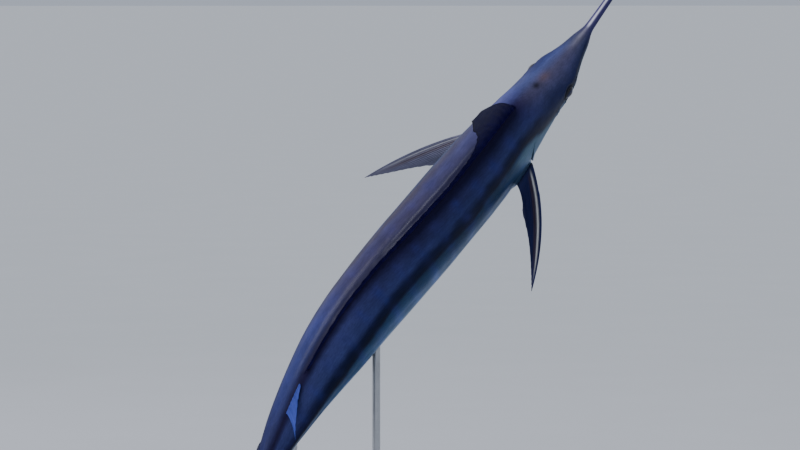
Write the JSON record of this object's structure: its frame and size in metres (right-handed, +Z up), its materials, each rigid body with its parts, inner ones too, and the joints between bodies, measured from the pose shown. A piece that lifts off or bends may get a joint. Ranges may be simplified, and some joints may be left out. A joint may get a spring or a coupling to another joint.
{
  "type": "blue marlin",
  "caption": "Life-size blue marlin in mid-leap, with a long bill, raised dorsal lobe, spread pectoral fins and crescent tail, held on a flat base by upright rods.",
  "frame": {"origin": "centre of the stand base's underside", "axes": "+Z up, +X the way the fish heads seen from above, +Y to the fish's left when level; the fish climbs toward +X and +Z and lies rolled to its right"},
  "size_m": [2.0968, 0.9489, 2.6418],
  "materials": {
    "skin": "wet, slate blue back over a silver belly",
    "bill": "dark, finely rough",
    "fin": "thin, dark blue, with raised rays",
    "eye": "polished dark ball",
    "stand_wood": "dark stained, satin",
    "stand_steel": "brushed"
  },
  "bodies": {
    "root": {"bill": "bill", "head": "skin", "lower_jaw": "skin", "trunk_front": "skin", "trunk_rear": "skin", "tail_stem": "skin", "gill_cover_left": "skin", "gill_cover_right": "skin", "eye_left": "eye", "eye_right": "eye", "dorsal_fin_first_lobe": "fin", "dorsal_fin_first_rear": "fin", "dorsal_fin_second": "fin", "anal_fin_first": "fin", "anal_fin_second": "fin", "pectoral_fin_left": "fin", "pectoral_fin_right": "fin", "pelvic_fin_left": "fin", "pelvic_fin_right": "fin", "tail_fin_upper": "fin", "tail_fin_lower": "fin", "stand_base": "stand_wood", "stand_rod_front": "stand_steel", "stand_rod_rear": "stand_steel"}
  },
  "joints": []
}
